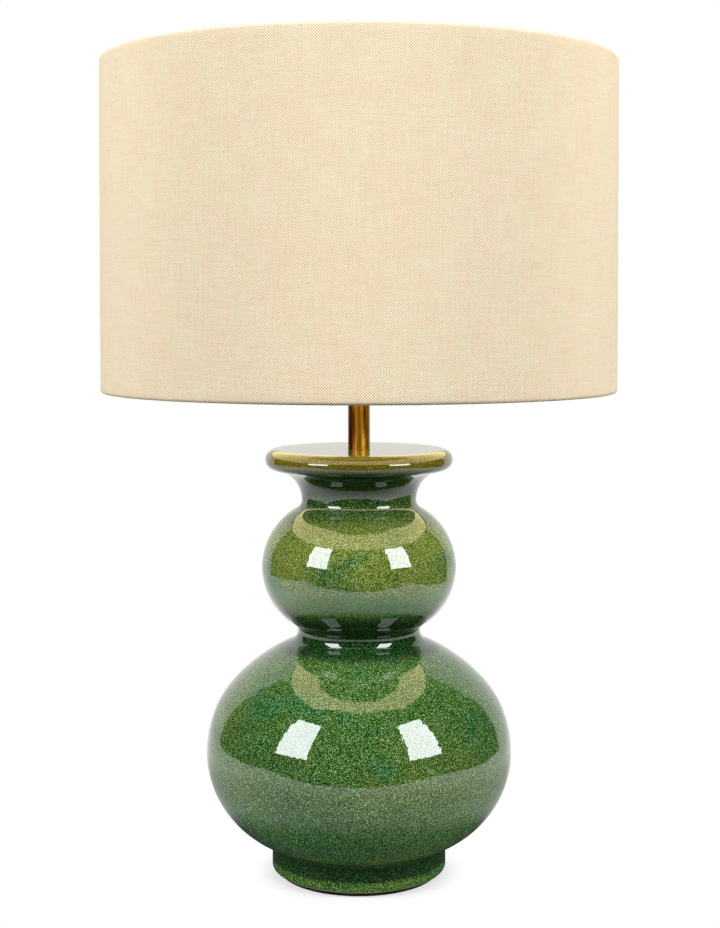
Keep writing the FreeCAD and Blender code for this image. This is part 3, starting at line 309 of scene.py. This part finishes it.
def make_lamp(name, place, target, width, height, power):
    """A soft lamp that lights the object and isn't seen in reflections."""
    data = bpy.data.lights.new(name, "AREA")
    data.shape = "RECTANGLE"
    data.size = width
    data.size_y = height
    data.energy = power
    lamp = bpy.data.objects.new(name, data)
    lamp.location = place
    lamp.rotation_euler = facing(place, target)
    lamp.visible_glossy = False
    lamp.visible_camera = False
    bpy.context.scene.collection.objects.link(lamp)


def make_reflection(name, vertices, faces, colour, strength):
    """A glowing mesh that only reflections see."""
    shader = new_shader(name)
    light = shader.add("Emission")
    light.inputs["Color"].default_value = rgba(colour)
    light.inputs["Strength"].default_value = strength
    material = shader.finish(light.outputs[0])
    material.cycles.emission_sampling = "NONE"
    mesh = bpy.data.meshes.new(name)
    mesh.from_pydata(vertices, [], faces)
    mesh.materials.append(material)
    glow = bpy.data.objects.new(name, mesh)
    glow.visible_camera = False
    glow.visible_diffuse = False
    glow.visible_transmission = False
    glow.visible_shadow = False
    bpy.context.scene.collection.objects.link(glow)
    return glow


def make_panel(name, place, target, width, height, strength):
    """What a soft lamp looks like in a reflection: a bright panel."""
    x, y = width / 2, height / 2
    corners = [(-x, -y, 0), (x, -y, 0), (x, y, 0), (-x, y, 0)]
    panel = make_reflection(name, corners, [(0, 1, 2, 3)], BOX_TINT, strength)
    panel.location = place
    panel.rotation_euler = facing(place, target)


def make_lining_glow():
    """A painted reflection of the shade's lit inside: a warm glowing cylinder just inside the shade that only
    reflections see.
    """
    count = LINING_SIDES
    angles = [math.tau * step / count for step in range(count)]
    vertices = [(LINING_RADIUS * math.cos(angle), LINING_RADIUS * math.sin(angle), height)
                for height in (LINING_FROM, LINING_TO) for angle in angles]
    faces = [(step, (step + 1) % count, count + (step + 1) % count, count + step) for step in range(count)]
    make_reflection("lining_glow", vertices, faces, LINING_TINT, LINING_STRENGTH)


def beside(azimuth, distance, height):
    """A place round the lamp's axis; azimuth 0 is towards the camera, positive to the right."""
    turn = math.radians(azimuth)
    return Vector((distance * math.sin(turn), -distance * math.cos(turn), height))


def make_lights():
    for side, azimuth, power in zip(("left", "right"), BOX_AZIMUTHS, BOX_POWERS):
        place = beside(azimuth, BOX_DISTANCE, BOX_HEIGHT)
        make_panel(f"soft_box_panel_{side}", place, (0, 0, BOX_HEIGHT), BOX_WIDTH, BOX_LENGTH, BOX_GLOW)
        source = beside(azimuth * LAMP_SPREAD, BOX_DISTANCE, BOX_HEIGHT + LAMP_RISE)
        make_lamp(f"soft_box_{side}", source, LAMP_AIM, BOX_WIDTH, LAMP_LENGTH, power)
    make_lamp("top_light", TOP_PLACE, TOP_AIM, TOP_SIZE, TOP_SIZE, TOP_POWER)
    make_lining_glow()


# ---------------------------------------------------------------- glaze

SPECK_SCALE, CLOUD_SCALE, DRIFT_SCALE, PEEL_SCALE = 1650.0, 28.0, 11.0, 210.0
PEEL_DEPTH = 0.12 * MM
SPECK_STOPS = (0.42, 0.51, 0.58, 0.67)

# Each tint from the dark ground between the specks to the brightest speck.
TINTS = {
    "green": ((0.003, 0.028, 0.001), (0.016, 0.072, 0.003), (0.070, 0.170, 0.022), (0.360, 0.540, 0.260)),
    "olive": ((0.045, 0.082, 0.002), (0.110, 0.165, 0.006), (0.250, 0.310, 0.045), (0.620, 0.680, 0.320)),
    "emerald": ((0.001, 0.020, 0.003), (0.005, 0.070, 0.012), (0.042, 0.182, 0.050), (0.260, 0.540, 0.290)),
    # The darkest tint is painted shadow, laid where shade falls under the gourds and the disc.
    "deep_shadow": ((0.0005, 0.008, 0.001), (0.0015, 0.022, 0.002), (0.007, 0.046, 0.007), (0.075, 0.190, 0.065)),
    # Gold: thin glaze at the disc's rim, together with painted warm light from the shade above.
    "gold": ((0.170, 0.135, 0.001), (0.260, 0.215, 0.003), (0.400, 0.345, 0.016), (0.640, 0.600, 0.180)),
}
# A painted reflection: a lighter green belt on the upper gourd where the glaze reflects the table.
REFLECTION_GREEN = (0.130, 0.260, 0.120)
THIN_GLAZE = (0.42, 0.47, 0.28)

# Heights over which a tint comes in, and over which it goes again.
ZONES = {
    # The olive band is painted warm light, as if the shade above lit the upper gourd.
    "olive": ((0.188, 0.212), (0.254, 0.240)),
    "low_bowl": ((0.028, 0.036), (0.085, 0.050)),
    "painted_reflection_belt": ((0.184, 0.189), (0.206, 0.196)),
    # These two bands are painted shadow: under the upper gourd, and on the foot under the belly.
    "shadow_under_crown": ((0.153, 0.158), (0.1870, 0.1815)),
    "shadow_on_foot": ((0.0085, 0.0120), (0.0260, 0.0200)),
}
# Painted shadow on the neck, where the disc shades it.
DISC_SHADOW = (0.2595, 0.2640)
DISC_EDGE, DISC_OUTER = (0.279, 0.2845), (0.035, 0.052)
DISC_TOP = (0.2885, 0.2905)
FOOT_LINE = (0.0050, 0.0034)
CLOUD_STEP, DRIFT_STEP = (0.52, 0.68), (0.45, 0.62)

LIT_OLIVE_SHARE, DRIFT_SHARE = 0.75, 0.25
CLOUD_SHARE, LOW_SHARE = 0.80, 0.55
# Shares of the painted reflection belt and of the painted shadow.
REFLECTION_BELT_SHARE, PAINTED_SHADOW_SHARE = 0.40, 0.96
TOP_SHARE, LINE_SHARE = 0.85, 0.70


def glaze_colour(shader, where):
    """Speckled green, emerald in clouds and low down; painted shadow where it is deepest, painted light in
    the olive and pale bands, and gold on the disc, partly thin glaze and partly painted light.
    """
    x, y, z = shader.parts(where)
    speck = shader.noise(where, SPECK_SCALE, detail=1.0, roughness=0.7)
    clouds = shader.noise(where, CLOUD_SCALE, detail=3.0, roughness=0.55, distortion=0.4)
    drift = shader.noise(where, DRIFT_SCALE)
    tint = {name: shader.ramp(speck, SPECK_STOPS, colours) for name, colours in TINTS.items()}
    zone = {name: shader.band(z, rise, fall) for name, (rise, fall) in ZONES.items()}

    # The olive drift is tone that differs at random; the olive band on the upper gourd is painted warm light.
    drifted = shader.spread(drift, *DRIFT_STEP, 0.0, DRIFT_SHARE)
    olive = shader.math("ADD", shader.times(zone["olive"], LIT_OLIVE_SHARE), drifted, clamp=True)
    colour = shader.mix(olive, tint["green"], tint["olive"])

    cloudy = shader.spread(clouds, *CLOUD_STEP, 0.0, CLOUD_SHARE)
    emerald = shader.largest(cloudy, shader.times(zone["low_bowl"], LOW_SHARE))
    colour = shader.mix(emerald, colour, tint["emerald"])
    # Painted reflection: the lighter green belt on the upper gourd.
    colour = shader.mix(shader.times(zone["painted_reflection_belt"], REFLECTION_BELT_SHARE), colour, REFLECTION_GREEN)

    # Painted shadow: the darkest tint laid on the neck under the disc, under the upper gourd and on the foot.
    disc_shadow = shader.spread(z, *DISC_SHADOW)
    painted_shadow = shader.largest(shader.largest(zone["shadow_under_crown"], disc_shadow), zone["shadow_on_foot"])
    colour = shader.mix(shader.times(painted_shadow, PAINTED_SHADOW_SHARE), colour, tint["deep_shadow"])

    # Gold on the disc: at the rim partly thin glaze and partly painted warm light; across the top, painted
    # light.
    on_disc = shader.times(shader.spread(z, *DISC_EDGE), shader.spread(shader.from_axis(x, y), *DISC_OUTER))
    on_top = shader.spread(z, *DISC_TOP, 0.0, TOP_SHARE)
    colour = shader.mix(shader.largest(on_disc, on_top), colour, tint["gold"])

    return shader.mix(shader.times(shader.spread(z, *FOOT_LINE), LINE_SHARE), colour, THIN_GLAZE)


def glaze_material():
    """The speckled glaze under a thick clear coat with a faint orange peel."""
    shader = new_shader("green_glaze")
    where = shader.place()
    return shader.principled(
        Base_Color=glaze_colour(shader, where),
        Roughness=0.5,
        Specular_IOR_Level=0.0,
        Coat_Weight=1.0,
        Coat_Roughness=0.015,
        Coat_IOR=1.60,
        Coat_Normal=shader.bump(shader.noise(where, PEEL_SCALE), PEEL_DEPTH, strength=0.5),
    )


# ---------------------------------------------------------------- metals

BRUSH_STRETCH, STREAK_STRETCH = (60.0, 60.0, 4000.0), (260.0, 260.0, 9.0)
BRUSH_DEPTH, BRUSH_ROUGHNESS = 0.08 * MM, 0.16
PATINA_SCALE, PATINA_STEP = 90.0, (0.42, 0.66)
STREAK_STEP = (0.41, 0.55)
TUBE_REACH = (10.0 * MM, 8.5 * MM)
SPANGLE_SCALE, SPANGLE_DEPTH, SPANGLE_ROUGHNESS, SPANGLE_SHADE = 500.0, 0.03 * MM, 0.15, 0.85


def brass_material(name, bright, dark, roughness, brush=0.25, tube=None):
    """Brass with brush marks round it and clouds of patina; a drawn tube has its own tint and dark upright
    streaks, partly patina and partly painted reflection.
    """
    shader = new_shader(name)
    where = shader.place()
    x, y, z = shader.parts(where)
    lines = shader.noise(shader.stretch((x, y, z), BRUSH_STRETCH), scale=1.0, detail=3.0, roughness=0.6)
    clouds = shader.noise(where, PATINA_SCALE, detail=4.0, roughness=0.6, distortion=0.6)
    tint = shader.mix(shader.spread(clouds, *PATINA_STEP), bright, dark)
    if tube is not None:
        # The tube's dark upright streaks: partly patina, partly painted reflection of the dark room.
        streak_noise = shader.noise(shader.stretch((x, y, z), STREAK_STRETCH), scale=1.0, detail=3.0, roughness=0.65)
        patina_and_reflection_streaks = shader.mix(shader.spread(streak_noise, *STREAK_STEP), *tube)
        tint = shader.mix(shader.spread(shader.from_axis(x, y), *TUBE_REACH), tint, patina_and_reflection_streaks)
    return shader.principled(
        Base_Color=tint,
        Metallic=1.0,
        Roughness=shader.plus(shader.times(lines, BRUSH_ROUGHNESS), roughness),
        Normal=shader.bump(lines, BRUSH_DEPTH, strength=brush),
    )


def steel_material(name, colour, roughness):
    """Plated steel with a fine spangle."""
    shader = new_shader(name)
    spangle = shader.noise(shader.place(), SPANGLE_SCALE, detail=3.0, roughness=0.6)
    return shader.principled(
        Base_Color=shader.mix(spangle, tuple(SPANGLE_SHADE * part for part in colour), colour),
        Metallic=1.0,
        Roughness=shader.plus(shader.times(spangle, SPANGLE_ROUGHNESS), roughness),
        Normal=shader.bump(spangle, SPANGLE_DEPTH, strength=0.4),
    )


# ---------------------------------------------------------------- linen

DRUM_RADIUS = 175 * MM
THREAD_WIDTH = 0.90 * MM
WANDER_SCALE, WANDER = 60.0, 0.5 * MM
SLUB_LONG, SLUB_SHORT = 40.0, 1100.0
FUZZ_SCALE, PATCH_SCALE = 1500.0, 55.0
WEAVE_SHARE, SLUB_SHARE, FUZZ_SHARE, TONE_TOP = 0.42, 0.42, 0.68, 1.10
THREAD_TONES = ((0.560, 0.410, 0.218), (0.845, 0.708, 0.500), (0.985, 0.930, 0.805))
COOL_PATCH, WARM_PATCH = (0.975, 1.0, 0.955), (1.0, 0.955, 0.935)
PATCH_STEP, PATCH_SHARE = (0.40, 0.62), 0.8
WEAVE_DEPTH, SLUB_RELIEF = 0.12 * MM, 1.2


def linen_material():
    """Plain-woven linen: warp and weft at a thread's width, uneven threads, faint warm and cool patches."""
    shader = new_shader("natural_linen")
    where = shader.place()
    x, y, z = shader.parts(where)
    around = shader.times(shader.math("ARCTAN2", y, x), DRUM_RADIUS)
    shift = shader.times(shader.math("SUBTRACT", shader.noise(where, WANDER_SCALE), 0.5), WANDER)
    step = math.pi / THREAD_WIDTH
    weft = shader.math("SINE", shader.times(shader.plus(z, shift), step))
    warp = shader.math("SINE", shader.times(shader.plus(around, shift), step))
    over = shader.times(weft, warp)

    def uneven(across, up):
        """Half of the slub: threads that run one way, thick and thin."""
        stretched = shader.join(shader.times(around, across), 0.0, shader.times(z, up))
        return shader.times(shader.noise(stretched, scale=1.0, detail=1.0), 0.5)

    slub = shader.plus(uneven(SLUB_LONG, SLUB_SHORT), uneven(SLUB_SHORT, SLUB_LONG))
    fuzz = shader.noise(where, FUZZ_SCALE, detail=2.0, roughness=0.6)
    patch = shader.noise(where, PATCH_SCALE, detail=3.0, roughness=0.6)
    tone = shader.plus(shader.times(over, WEAVE_SHARE), shader.times(slub, SLUB_SHARE))
    tone = shader.plus(tone, shader.times(fuzz, FUZZ_SHARE))
    thread = shader.ramp(shader.spread(tone, 0.0, TONE_TOP), (0.0, 0.5, 1.0), THREAD_TONES)
    warm = shader.mix(shader.spread(patch, *PATCH_STEP), COOL_PATCH, WARM_PATCH)
    raised = shader.plus(over, shader.times(slub, SLUB_RELIEF))
    return shader.principled(
        Base_Color=shader.mix(PATCH_SHARE, thread, warm, "MULTIPLY"),
        Roughness=0.92,
        Specular_IOR_Level=0.0,
        Sheen_Weight=0.06,
        Sheen_Roughness=0.5,
        Normal=shader.bump(raised, WEAVE_DEPTH, strength=0.5),
    )


# ---------------------------------------------------------------- other finishes

BRASSES = {
    "antique_brass": dict(bright=(0.42, 0.25, 0.066), dark=(0.21, 0.105, 0.024), roughness=0.24, brush=0.7,
                          tube=((0.51, 0.275, 0.033), (0.120, 0.032, 0.004))),
    "bright_brass": dict(bright=(0.80, 0.58, 0.24), dark=(0.62, 0.40, 0.14), roughness=0.18),
}
STEELS = {
    "zinc_steel": dict(colour=(0.62, 0.61, 0.58), roughness=0.28),
    "bulb_metal": dict(colour=(0.78, 0.78, 0.79), roughness=0.22),
    "solder": dict(colour=(0.55, 0.55, 0.54), roughness=0.42),
}
PLAINS = {
    "black_pad": dict(low=(0.006, 0.006, 0.006), high=(0.02, 0.02, 0.02), roughness=0.9, scale=1500.0,
                      relief=0.10 * MM),
    "black_rubber": dict(low=(0.012, 0.012, 0.012), high=(0.03, 0.03, 0.03), roughness=0.5),
    "porcelain": dict(low=(0.78, 0.76, 0.71), high=(0.86, 0.84, 0.80), roughness=0.45),
    "nylon": dict(low=(0.74, 0.73, 0.69), high=(0.82, 0.81, 0.77), roughness=0.5),
    "black_plastic": dict(low=(0.010, 0.010, 0.010), high=(0.022, 0.022, 0.022), roughness=0.25),
    "opal_glass": dict(low=(0.86, 0.85, 0.82), high=(0.90, 0.89, 0.86), roughness=0.3, scale=40.0, relief=0.0,
                       Subsurface_Weight=0.3, Subsurface_Scale=0.004, Coat_Weight=1.0, Coat_Roughness=0.03),
    "white_lining": dict(low=(0.80, 0.77, 0.71), high=(0.85, 0.82, 0.77), roughness=0.45, scale=120.0),
    "white_wire": dict(low=(0.78, 0.77, 0.74), high=(0.85, 0.84, 0.81), roughness=0.38, scale=700.0),
}


def plain_material(name, low, high, roughness, scale=300.0, relief=0.03 * MM, **extra):
    """A moulded, painted or fired surface with a little mottle and relief."""
    shader = new_shader(name)
    grain = shader.noise(shader.place(), scale, detail=3.0, roughness=0.6)
    return shader.principled(
        Base_Color=shader.mix(grain, low, high),
        Roughness=roughness,
        Normal=shader.bump(grain, relief, strength=0.4),
        **extra,
    )


def make_materials():
    """One detailed material for each of the record's slots."""
    materials = {"green_glaze": glaze_material(), "natural_linen": linen_material()}
    for maker, finishes in ((brass_material, BRASSES), (steel_material, STEELS), (plain_material, PLAINS)):
        for name, finish in finishes.items():
            materials[name] = maker(name, **finish)
    return materials


def dress_frame(materials):
    """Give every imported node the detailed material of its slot."""
    slots = {row["node"]: row["material_slot"] for row in frame["record"]["subparts"]}
    for name, node in frame["nodes"].items():
        for slot in node.material_slots:
            slot.material = materials[slots[name]]


# ---------------------------------------------------------------- pieces

def add_piece(name, mesh, body, slot):
    """A piece in the frame, on its body and in its finish."""
    mesh.shade_smooth()
    mesh.materials.append(MATERIALS[slot])
    piece = bpy.data.objects.new(name, mesh)
    bpy.context.scene.collection.objects.link(piece)
    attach(piece, body)
    return piece


def skin(sections, points, closed):
    """Faces between each section of points and the next, and back to the first where the row is closed."""
    faces = []
    for step in range(sections if closed else sections - 1):
        here, there = step * points, (step + 1) % sections * points
        for row in range(points):
            over = (row + 1) % points
            faces.append((here + row, there + row, there + over, here + over))
    return faces


# ---------------------------------------------------------------- drum cover

COVER_THICK = 0.6 * MM
HEM_RADIUS = 2.4 * MM
HEM_TURN = math.tau - math.radians(150)
HEM_SEGMENTS = 14
WALL_ROWS = 48
SEAM_START = math.pi / 2
SEAM_WIDTH = math.radians(4)
SEAM_STEP = 0.55 * MM
SEAM_EDGE = math.radians(0.14)
SEAM_MARGIN = math.radians(0.6)
AROUND_COARSE, AROUND_FINE = math.radians(0.75), math.radians(0.07)
WAVES_AROUND, WAVES_UP = 9.0, 14.0
WALL_SLACK = 0.10 * MM
ROLL_SLACK, ROLL_WAVES = 0.16 * MM, 4.0
HEM_WAVE, HEM_WAVES = 0.08 * MM, 3.0
ROLL_REACH = 3 * HEM_RADIUS


def cover_face(low, high, radius, inset):
    """One face of the cover's section, from the tuck behind the lower wire up the wall to the upper tuck."""
    around = HEM_RADIUS - inset
    centre = radius - HEM_RADIUS
    lower = []
    for step in range(HEM_SEGMENTS + 1):
        angle = HEM_TURN * step / HEM_SEGMENTS - HEM_TURN
        lower.append((centre + around * math.cos(angle), low + HEM_RADIUS + around * math.sin(angle)))
    bottom, top = lower[-1][1], high - HEM_RADIUS
    wall = [(radius - inset, bottom + (top - bottom) * row / WALL_ROWS) for row in range(1, WALL_ROWS)]
    upper = [(r, low + high - height) for r, height in reversed(lower)]
    return lower + wall + upper


def cover_angles():
    """Angles round the drum, close together at the two edges of the back seam."""
    edges = (SEAM_START, SEAM_START + SEAM_WIDTH)
    angle, angles = edges[0] - SEAM_MARGIN, []
    last = angle + math.tau
    while angle < last - AROUND_FINE / 2:
        angles.append(angle)
        near = min(abs(angle - edge) for edge in edges) < SEAM_MARGIN
        angle += AROUND_FINE if near else AROUND_COARSE
    return angles


def seam_lift(angle):
    """How far the lapped strip stands proud of the wall."""
    inside = min(angle - SEAM_START, SEAM_START + SEAM_WIDTH - angle)
    share = min(max(inside / SEAM_EDGE + 0.5, 0.0), 1.0)
    return SEAM_STEP * share * share * (3 - 2 * share)


def cover_point(angle, r, height, outer, low, high):
    """A point of the cover: a little slack in the wall, more in the rolls, and lifted at the seam outside."""
    across, along = math.cos(angle), math.sin(angle)
    edge = min(height - low, high - height)
    roll = max(0.0, 1.0 - edge / ROLL_REACH)
    spot = Vector((across * WAVES_AROUND, along * WAVES_AROUND, height * WAVES_UP))
    slack = WALL_SLACK * noise.noise(spot) + ROLL_SLACK * roll * noise.noise(spot * ROLL_WAVES)
    reach = r + slack + outer * seam_lift(angle) * min(1.0, edge / HEM_RADIUS)
    return reach * across, reach * along, height + roll * HEM_WAVE * noise.noise(spot * HEM_WAVES)


def make_cover():
    """The woven drum cover: rolled over both rim wires, uneven at the rolls, lapped and glued at the back."""
    (_, front, low), (_, _, high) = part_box("shade_fabric")
    radius = -front
    section = [(r, height, 1.0) for r, height in cover_face(low, high, radius, 0.0)]
    section += [(r, height, 0.0) for r, height in reversed(cover_face(low, high, radius, COVER_THICK))]
    angles = cover_angles()
    vertices = [cover_point(angle, *point, low, high) for angle in angles for point in section]
    mesh = bpy.data.meshes.new("drum_cover")
    mesh.from_pydata(vertices, [], skin(len(angles), len(section), closed=True))
    cover = add_piece("drum_cover", mesh, "shade", "natural_linen")
    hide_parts("shade_fabric")


# ---------------------------------------------------------------- small metalwork

SKIRT_RADIUS = 19.6 * MM
THREAD_PITCH = 2.0 * MM

# The ridge's section: distances outwards from the skirt and upwards from the ridge's middle.
THREAD_ROOT, THREAD_CREST = -0.15 * MM, 0.20 * MM
THREAD_PROFILE = ((THREAD_ROOT, -0.60 * MM), (0.0, -0.50 * MM), (THREAD_CREST, -0.15 * MM),
                  (THREAD_CREST, 0.15 * MM), (0.0, 0.50 * MM), (THREAD_ROOT, 0.60 * MM))
THREAD_STEPS = 72
THREAD_RUNOUT = 20
THREAD_START, THREAD_STOP = 1.1 * MM, 1.9 * MM
ARM_AZIMUTHS = (90.0, 210.0, 330.0)
HUB_WELD_RADIUS, RIM_WELD_RADIUS = 27.6 * MM, 172.2 * MM
BEAD_SIZE = Vector((1.7 * MM, 1.7 * MM, 1.2 * MM))
BEAD_LUMPS, LUMP_SCALE, BEAD_APART = 0.12, 1.7, 100.0


def make_skirt_thread():
    """The coarse rolled thread on the skirt, on which the shade ring climbs, run out at both ends."""
    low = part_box("shade_hub")[0][2] + THREAD_START
    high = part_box("lampholder_skirt")[1][2] - THREAD_STOP
    steps = int(THREAD_STEPS * (high - low) / THREAD_PITCH)
    vertices = []
    for step in range(steps + 1):
        angle = math.tau * step / THREAD_STEPS
        fade = min(1.0, step / THREAD_RUNOUT, (steps - step) / THREAD_RUNOUT)
        for out, up in THREAD_PROFILE:
            reach = SKIRT_RADIUS + (out * fade if out > 0 else out)
            height = low + THREAD_PITCH * step / THREAD_STEPS + up
            vertices.append((reach * math.cos(angle), reach * math.sin(angle), height))
    count = len(THREAD_PROFILE)
    faces = skin(steps + 1, count, closed=False)
    faces.append(tuple(range(count)))
    faces.append(tuple(reversed(range(steps * count, (steps + 1) * count))))
    mesh = bpy.data.meshes.new("skirt_thread")
    mesh.from_pydata(vertices, [], faces)
    add_piece("skirt_thread", mesh, "base", "antique_brass")


def make_weld_beads():
    """Painted weld beads where each arm meets the hub above it and the bottom wire under it."""
    under_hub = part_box("shade_hub")[0][2]
    on_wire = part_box("shade_bottom_wire")[1][2]
    beads = bmesh.new()
    for azimuth in ARM_AZIMUTHS:
        turn = math.radians(azimuth)
        for reach, height in ((HUB_WELD_RADIUS, under_hub), (RIM_WELD_RADIUS, on_wire)):
            centre = Vector((reach * math.cos(turn), reach * math.sin(turn), height))
            bead = bmesh.ops.create_icosphere(beads, subdivisions=3, radius=1.0)
            for vertex in bead["verts"]:
                lumpy = 1.0 + BEAD_LUMPS * noise.noise(vertex.co * LUMP_SCALE + centre * BEAD_APART)
                vertex.co = centre + BEAD_SIZE * vertex.co * lumpy
    mesh = bpy.data.meshes.new("weld_beads")
    beads.to_mesh(mesh)
    beads.free()
    add_piece("weld_beads", mesh, "shade", "white_wire")


# ---------------------------------------------------------------- everything

make_camera()
make_world()
make_floor()
make_lights()
MATERIALS = make_materials()
dress_frame(MATERIALS)
make_cover()
make_skirt_thread()
make_weld_beads()

bpy.context.scene.view_settings.view_transform = "Standard"
